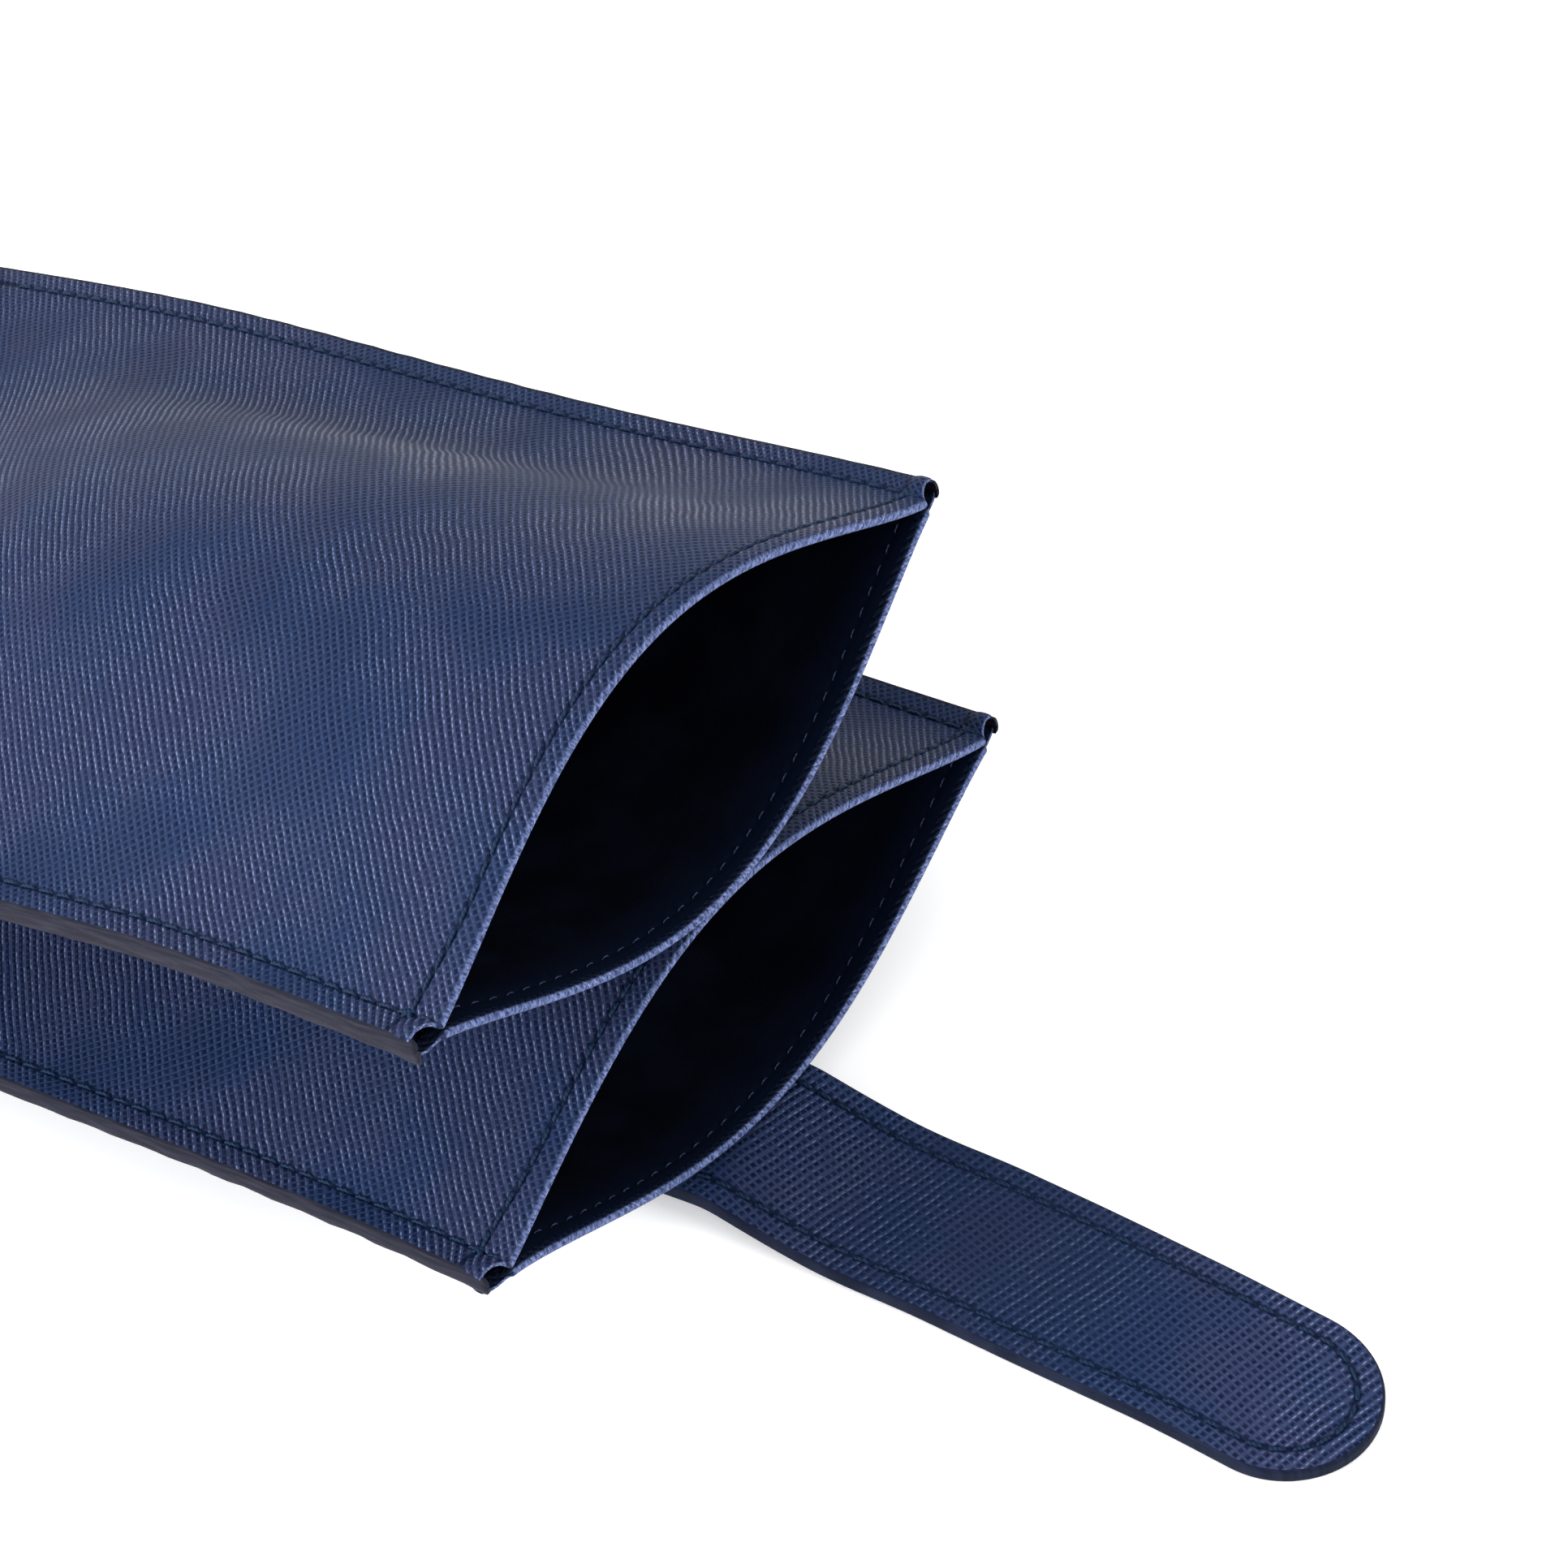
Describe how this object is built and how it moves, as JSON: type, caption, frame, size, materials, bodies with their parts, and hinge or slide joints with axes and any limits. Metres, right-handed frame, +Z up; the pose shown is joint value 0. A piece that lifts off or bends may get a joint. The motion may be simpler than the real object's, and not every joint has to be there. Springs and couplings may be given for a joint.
{
  "type": "passport holder",
  "caption": "Two-pocket leather passport holder: stacked lined sleeves with open mouths, joined by a spine at the closed ends, with a round-ended closing strap.",
  "frame": {"origin": "on the table, in the middle of the whole footprint", "axes": "+X out of the mouths along the strap, +Y across the sleeves, +Z up"},
  "size_m": [0.2322, 0.1006, 0.0752],
  "materials": {
    "saffiano_leather": "satin",
    "edge_paint": "satin",
    "thread_navy": "satin",
    "suede_lining": "matte",
    "stiffener": "matte",
    "magnet": "polished",
    "keeper_steel": "satin"
  },
  "bodies": {
    "lower_sleeve": {"lower_top_leather": "saffiano_leather", "lower_bottom_leather": "saffiano_leather", "lower_top_lining": "suede_lining", "lower_bottom_lining": "suede_lining", "lower_top_mouth_thread": "thread_navy", "lower_bottom_mouth_thread": "thread_navy", "lower_near_edge_paint": "edge_paint", "lower_far_edge_paint": "edge_paint", "lower_near_thread": "thread_navy", "lower_far_thread": "thread_navy", "lower_spine_tab": "saffiano_leather", "lower_end_thread": "thread_navy", "strap_root_under": "saffiano_leather", "strap_root_upper": "saffiano_leather"},
    "spine": {"spine_leather": "saffiano_leather", "spine_board": "stiffener", "spine_lining": "suede_lining"},
    "upper_sleeve": {"upper_top_leather": "saffiano_leather", "upper_bottom_leather": "saffiano_leather", "upper_top_lining": "suede_lining", "upper_bottom_lining": "suede_lining", "upper_top_mouth_thread": "thread_navy", "upper_bottom_mouth_thread": "thread_navy", "upper_near_edge_paint": "edge_paint", "upper_far_edge_paint": "edge_paint", "upper_near_thread": "thread_navy", "upper_far_thread": "thread_navy", "upper_spine_tab": "saffiano_leather", "upper_end_thread": "thread_navy", "magnet_keeper": "keeper_steel"},
    "strap_middle": {"strap_middle_under": "saffiano_leather", "strap_middle_upper": "saffiano_leather", "strap_middle_thread": "thread_navy"},
    "strap_tip": {"strap_tip_under": "saffiano_leather", "strap_tip_upper": "saffiano_leather", "strap_tip_thread": "thread_navy", "strap_magnet": "magnet"}
  },
  "joints": [
    {"name": "spine_fold", "type": "hinge", "parent": "lower_sleeve", "child": "spine", "pos_m": [-0.11478, 0, 0.00081], "axis": [0, -1, 0], "range_deg": [0, 78]},
    {"name": "upper_fold", "type": "hinge", "parent": "spine", "child": "upper_sleeve", "pos_m": [-0.11565, 0, 0.01945], "axis": [0, -1, 0], "range_deg": [0, 78]},
    {"name": "strap_bend", "type": "hinge", "parent": "lower_sleeve", "child": "strap_middle", "pos_m": [0.04582, -0.00327, 0.00356], "axis": [0.0279, -0.9996, 0], "range_deg": [0, 90]},
    {"name": "strap_fold", "type": "hinge", "parent": "strap_middle", "child": "strap_tip", "pos_m": [0.08281, -0.00223, 0.001], "axis": [0.0279, -0.9996, 0], "range_deg": [0, 55]}
  ]
}
